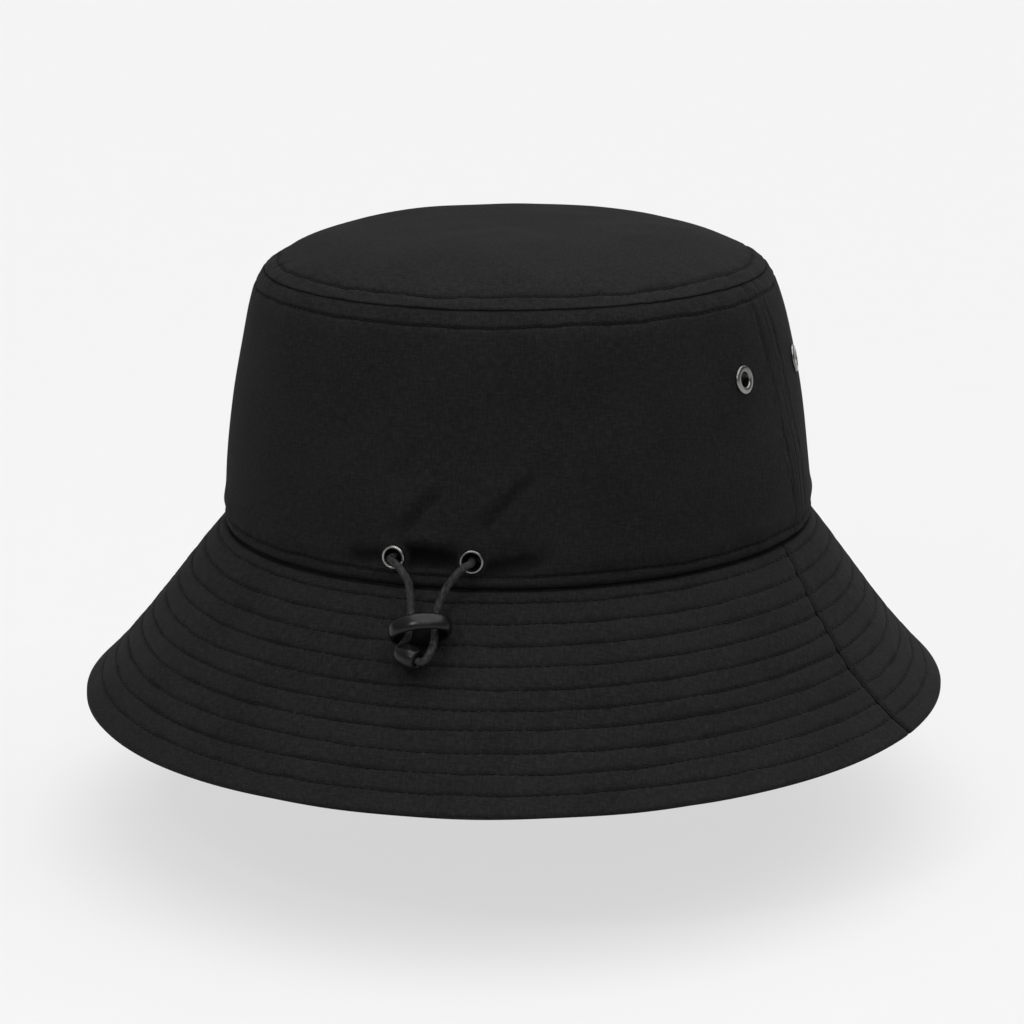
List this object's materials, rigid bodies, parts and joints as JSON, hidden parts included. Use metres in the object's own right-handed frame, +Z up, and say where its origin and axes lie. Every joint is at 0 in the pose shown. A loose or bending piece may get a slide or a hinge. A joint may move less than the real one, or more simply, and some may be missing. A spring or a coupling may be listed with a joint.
{
  "type": "bucket hat",
  "caption": "Black cloth bucket hat with a sloping quilted brim, vent eyelets at the sides and a drawcord with a ring stopper and bead at the back.",
  "frame": {"origin": "middle of the box round the hat, on the plane of the brim's edge", "axes": "+Z up through the crown, -Y towards the back of the hat, where the drawcord is, +X towards the side that is on the right when seen from the back"},
  "size_m": [0.259, 0.281, 0.1371],
  "materials": {
    "cloth": "matt black plain weave",
    "lining": "matt black twill tape",
    "stiffener": "stiff interlining, hidden inside the brim",
    "eyelet_metal": "bright nickel plate",
    "cord": "braided round elastic",
    "stopper_plastic": "polished black"
  },
  "bodies": {
    "hat": {"crown_tip": "cloth", "crown_panel_back": "cloth", "crown_panel_front": "cloth", "top_seam_tape": "lining", "side_seam_tape_left": "lining", "side_seam_tape_right": "lining", "brim_upper_back": "cloth", "brim_upper_front": "cloth", "brim_stiffener": "stiffener", "brim_lower_back": "cloth", "brim_lower_front": "cloth", "sweatband": "lining", "vent_eyelets": "eyelet_metal", "vent_eyelet_washers": "eyelet_metal", "cord_eyelets": "eyelet_metal", "cord_eyelet_washers": "eyelet_metal", "drawcord_hidden_run": "cord"},
    "cord_loop": {"drawcord_loop": "cord", "cord_bead": "stopper_plastic"},
    "stopper": {"cord_stopper": "stopper_plastic"}
  },
  "joints": [
    {"name": "cord_swing", "type": "hinge", "parent": "hat", "child": "cord_loop", "pos_m": [0, -0.0992, 0.0589], "axis": [-1, 0, 0], "range_deg": [0, 90]},
    {"name": "stopper_slide", "type": "slide", "parent": "cord_loop", "child": "stopper", "axis": [0, 0.6401, 0.7683], "range_m": [0, 0.006]}
  ]
}
